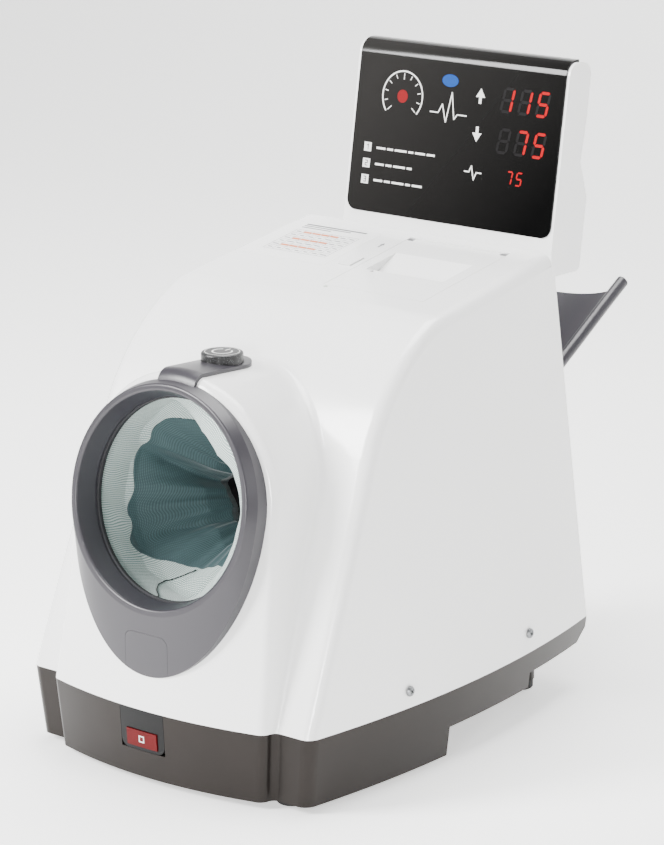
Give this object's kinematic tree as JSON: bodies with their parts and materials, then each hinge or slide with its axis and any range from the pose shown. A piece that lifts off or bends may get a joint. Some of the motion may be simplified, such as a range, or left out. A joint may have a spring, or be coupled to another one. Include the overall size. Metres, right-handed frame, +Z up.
{
  "type": "arm-in blood pressure monitor",
  "caption": "Tabletop arm-in blood pressure monitor with a leaning cuff tunnel, a rear forearm trough, a top printer and a raised red-digit display.",
  "frame": {"origin": "middle of the footprint, on the surface it stands on", "axes": "+X to the right seen from the front, +Y to the back, +Z up"},
  "size_m": [0.3032, 0.5142, 0.518],
  "materials": {
    "casing_white": "gloss",
    "cover_white": "fine texture",
    "base_grey": "satin",
    "foot_rubber": "matte",
    "surround_black": "satin",
    "button_red": "gloss",
    "switch_black": "matte",
    "ring_grey": "satin",
    "cap_grey": "satin",
    "drum_grey": "matte",
    "bladder_rubber": "matte",
    "hem_cloth": "stitched",
    "lining_cloth": "woven",
    "sleeve_cloth": "woven",
    "cradle_black": "matte",
    "motor_steel": "plated",
    "pinion_brass": "machined",
    "spool_plastic": "matte",
    "bracket_steel": "plated",
    "chassis_steel": "plated",
    "screw_steel": "plated",
    "supply_case": "brushed",
    "board_green": "satin",
    "pump_black": "matte",
    "valve_white": "matte",
    "hose_rubber": "matte",
    "rest_grey": "satin",
    "plate_grey": "satin",
    "roof_grey": "matte",
    "start_black": "satin",
    "tray_grey": "matte",
    "platen_rubber": "matte",
    "paper_white": "paper",
    "label_film": "printed film",
    "button_grey": "satin",
    "light_clear": "clear",
    "housing_white": "gloss",
    "glass_black": "polished",
    "digit_red": "lit",
    "socket_black": "matte",
    "rocker_black": "satin"
  },
  "bodies": {
    "machine": {"upper_shell": "casing_white", "rear_cover": "cover_white", "base_tray": "base_grey", "rubber_feet": "foot_rubber", "emergency_surround": "surround_black", "emergency_switch": "switch_black", "cuff_ring": "ring_grey", "service_cap": "cap_grey", "cuff_drum": "drum_grey", "cuff_bladder": "bladder_rubber", "cuff_hem": "hem_cloth", "cuff_lining": "lining_cloth", "cuff_sleeve": "sleeve_cloth", "cuff_cradles": "cradle_black", "winding_motor": "motor_steel", "winding_bracket": "bracket_steel", "chassis_plate": "chassis_steel", "chassis_screws": "screw_steel", "power_supply": "supply_case", "main_board": "board_green", "air_pump": "pump_black", "exhaust_valve": "valve_white", "air_hoses": "hose_rubber", "elbow_rest": "rest_grey", "elbow_switch": "switch_black", "elbow_bracket": "bracket_steel", "chamber_roof": "roof_grey", "start_switch": "board_green", "printer_tray": "tray_grey", "feed_motor": "motor_steel", "thermal_head": "supply_case", "label_panel": "label_film", "feed_switch": "board_green", "status_light": "light_clear", "display_housing": "housing_white", "display_glass": "glass_black", "led_board": "board_green", "led_digits_large": "digit_red", "led_digits_small": "digit_red", "mains_inlet": "socket_black", "rocker_frame": "socket_black", "data_port": "socket_black", "speaker": "switch_black", "rear_screws": "screw_steel", "display_screws": "screw_steel", "side_screws": "screw_steel"},
    "start_key": {"start_button": "start_black"},
    "stop_key": {"emergency_button": "button_red"},
    "feed_key": {"feed_button": "button_grey"},
    "elbow_pad": {"elbow_plate": "plate_grey"},
    "lid": {"printer_lid": "casing_white", "lid_hinge_pin": "screw_steel"},
    "platen": {"platen_roller": "platen_rubber"},
    "feed_wheel": {"feed_gear": "spool_plastic"},
    "roll": {"paper_roll": "paper_white"},
    "rocker": {"power_rocker": "rocker_black"},
    "pinion": {"motor_pinion": "pinion_brass"},
    "spool": {"winding_spool": "spool_plastic"}
  },
  "joints": [
    {"name": "start_press", "type": "slide", "parent": "machine", "child": "start_key", "axis": [0, 0, -1], "range_m": [0, 0.0015], "stiffness_N_per_m": 600, "springref_m": -0.001},
    {"name": "emergency_press", "type": "slide", "parent": "machine", "child": "stop_key", "axis": [0, 1, 0], "range_m": [0, 0.003], "stiffness_N_per_m": 600, "springref_m": -0.001},
    {"name": "feed_press", "type": "slide", "parent": "machine", "child": "feed_key", "axis": [0, 0.1736, -0.9848], "range_m": [0, 0.001], "stiffness_N_per_m": 500, "springref_m": -0.0005},
    {"name": "elbow_press", "type": "slide", "parent": "machine", "child": "elbow_pad", "axis": [0, 0, -1], "range_m": [0, 0.002], "stiffness_N_per_m": 800, "springref_m": -0.001},
    {"name": "lid_hinge", "type": "hinge", "parent": "machine", "child": "lid", "pos_m": [0, 0.06392, 0.36563], "axis": [-1, 0, 0], "range_deg": [0, 75]},
    {"name": "platen_spin", "type": "hinge", "parent": "lid", "child": "platen", "pos_m": [0.0465, -0.02412, 0.338], "axis": [1, 0, 0], "continuous": true},
    {"name": "feed_gear_spin", "type": "hinge", "parent": "machine", "child": "feed_wheel", "pos_m": [0.081, -0.01012, 0.3267], "axis": [1, 0, 0], "continuous": true},
    {"name": "paper_roll_spin", "type": "hinge", "parent": "machine", "child": "roll", "pos_m": [0.0465, 0.02788, 0.333], "axis": [1, 0, 0], "continuous": true},
    {"name": "spool_spin", "type": "hinge", "parent": "machine", "child": "spool", "pos_m": [0.1, -0.13812, 0.109], "axis": [0, 1, 0], "continuous": true},
    {"name": "pinion_spin", "type": "hinge", "parent": "machine", "child": "pinion", "pos_m": [0.076, -0.18412, 0.082], "axis": [0, 1, 0], "continuous": true},
    {"name": "rocker_tilt", "type": "hinge", "parent": "machine", "child": "rocker", "pos_m": [-0.01796, 0.13636, 0.09416], "axis": [0.9999, 0.0111, 0], "range_deg": [0, 10]}
  ],
  "couplings": [
    {"joint": "feed_gear_spin", "follows": "platen_spin", "ratio": -0.71429},
    {"joint": "pinion_spin", "follows": "spool_spin", "ratio": -3}
  ]
}
